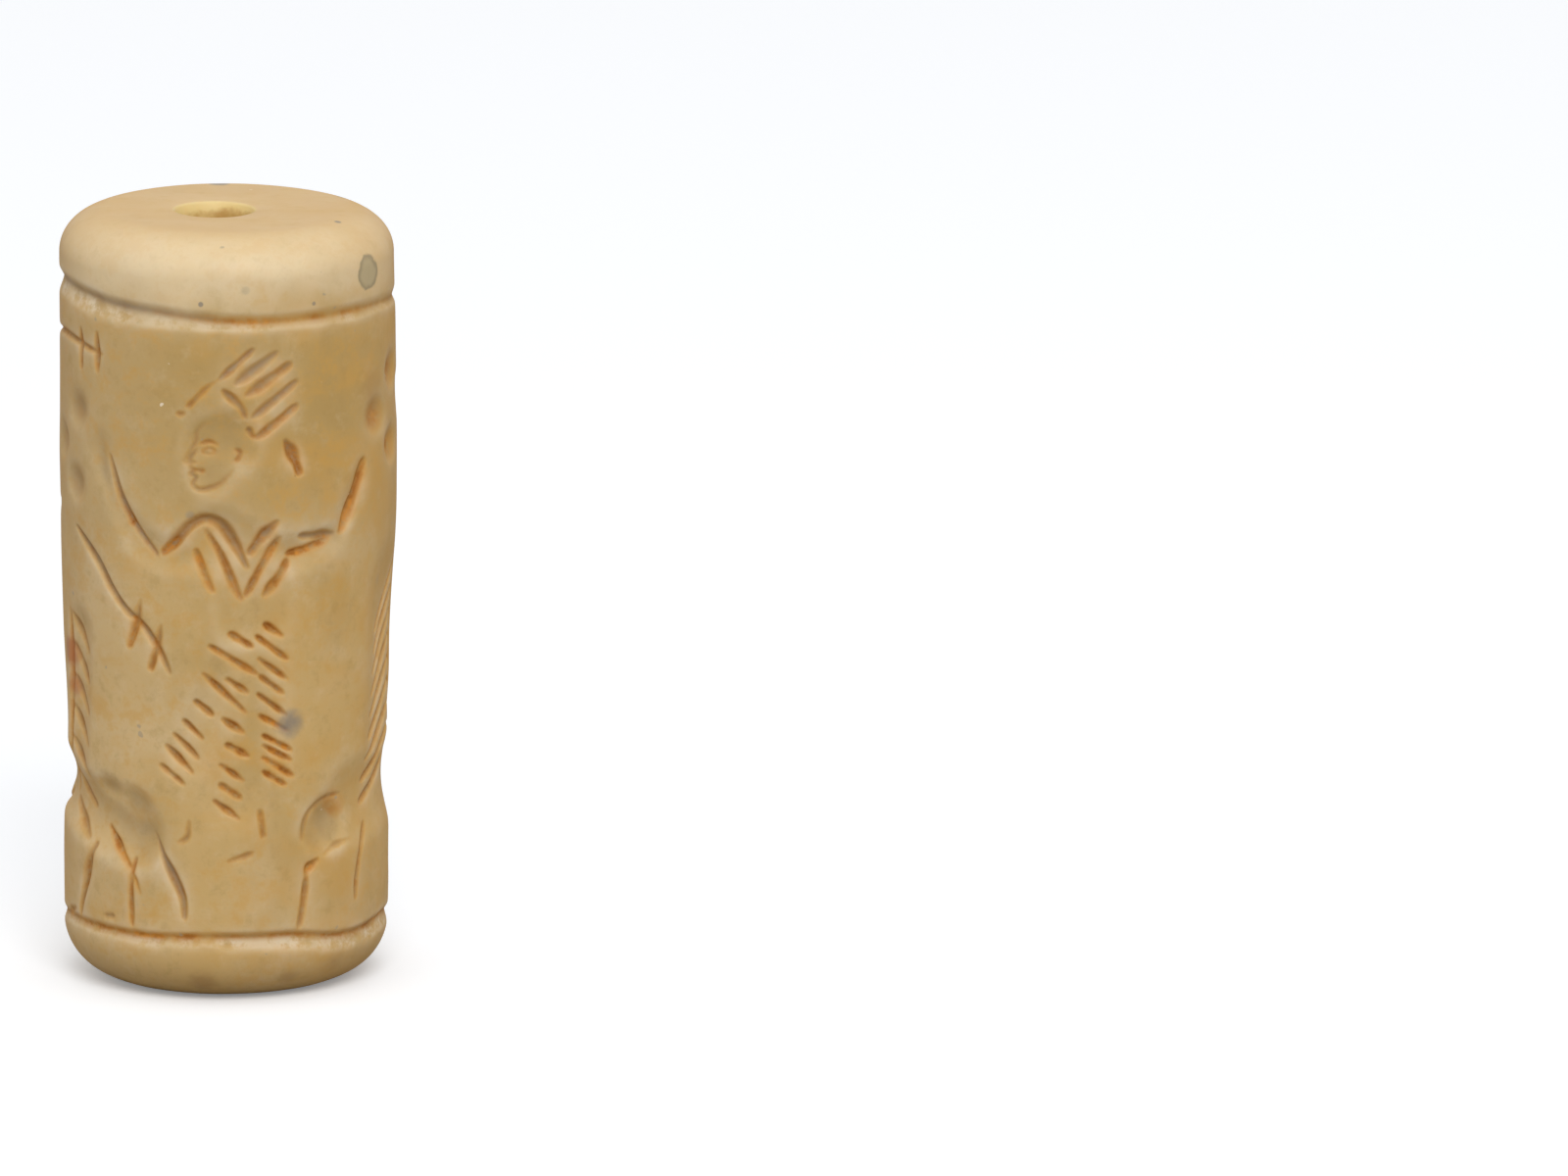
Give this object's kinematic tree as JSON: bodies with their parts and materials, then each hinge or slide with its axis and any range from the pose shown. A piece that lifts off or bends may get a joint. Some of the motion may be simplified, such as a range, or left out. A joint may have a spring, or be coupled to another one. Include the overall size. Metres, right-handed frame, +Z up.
{
  "type": "cylinder seal",
  "caption": "Small stone roller seal with a string hole along its axis, a border groove near each end and a scene of figure, beasts and bird cut into its side.",
  "frame": {"origin": "middle of the lower end face, where the seal stands", "axes": "+Z up along the stone, -Y towards the standing figure of the carved scene, +X to that figure's right as seen"},
  "size_m": [0.0168, 0.0167, 0.0384],
  "materials": {
    "polished_stone": "polished cream stone with a soft sheen and ochre deposits in the cuts"
  },
  "bodies": {
    "root": {"cylinder_seal": "polished_stone"}
  },
  "joints": []
}
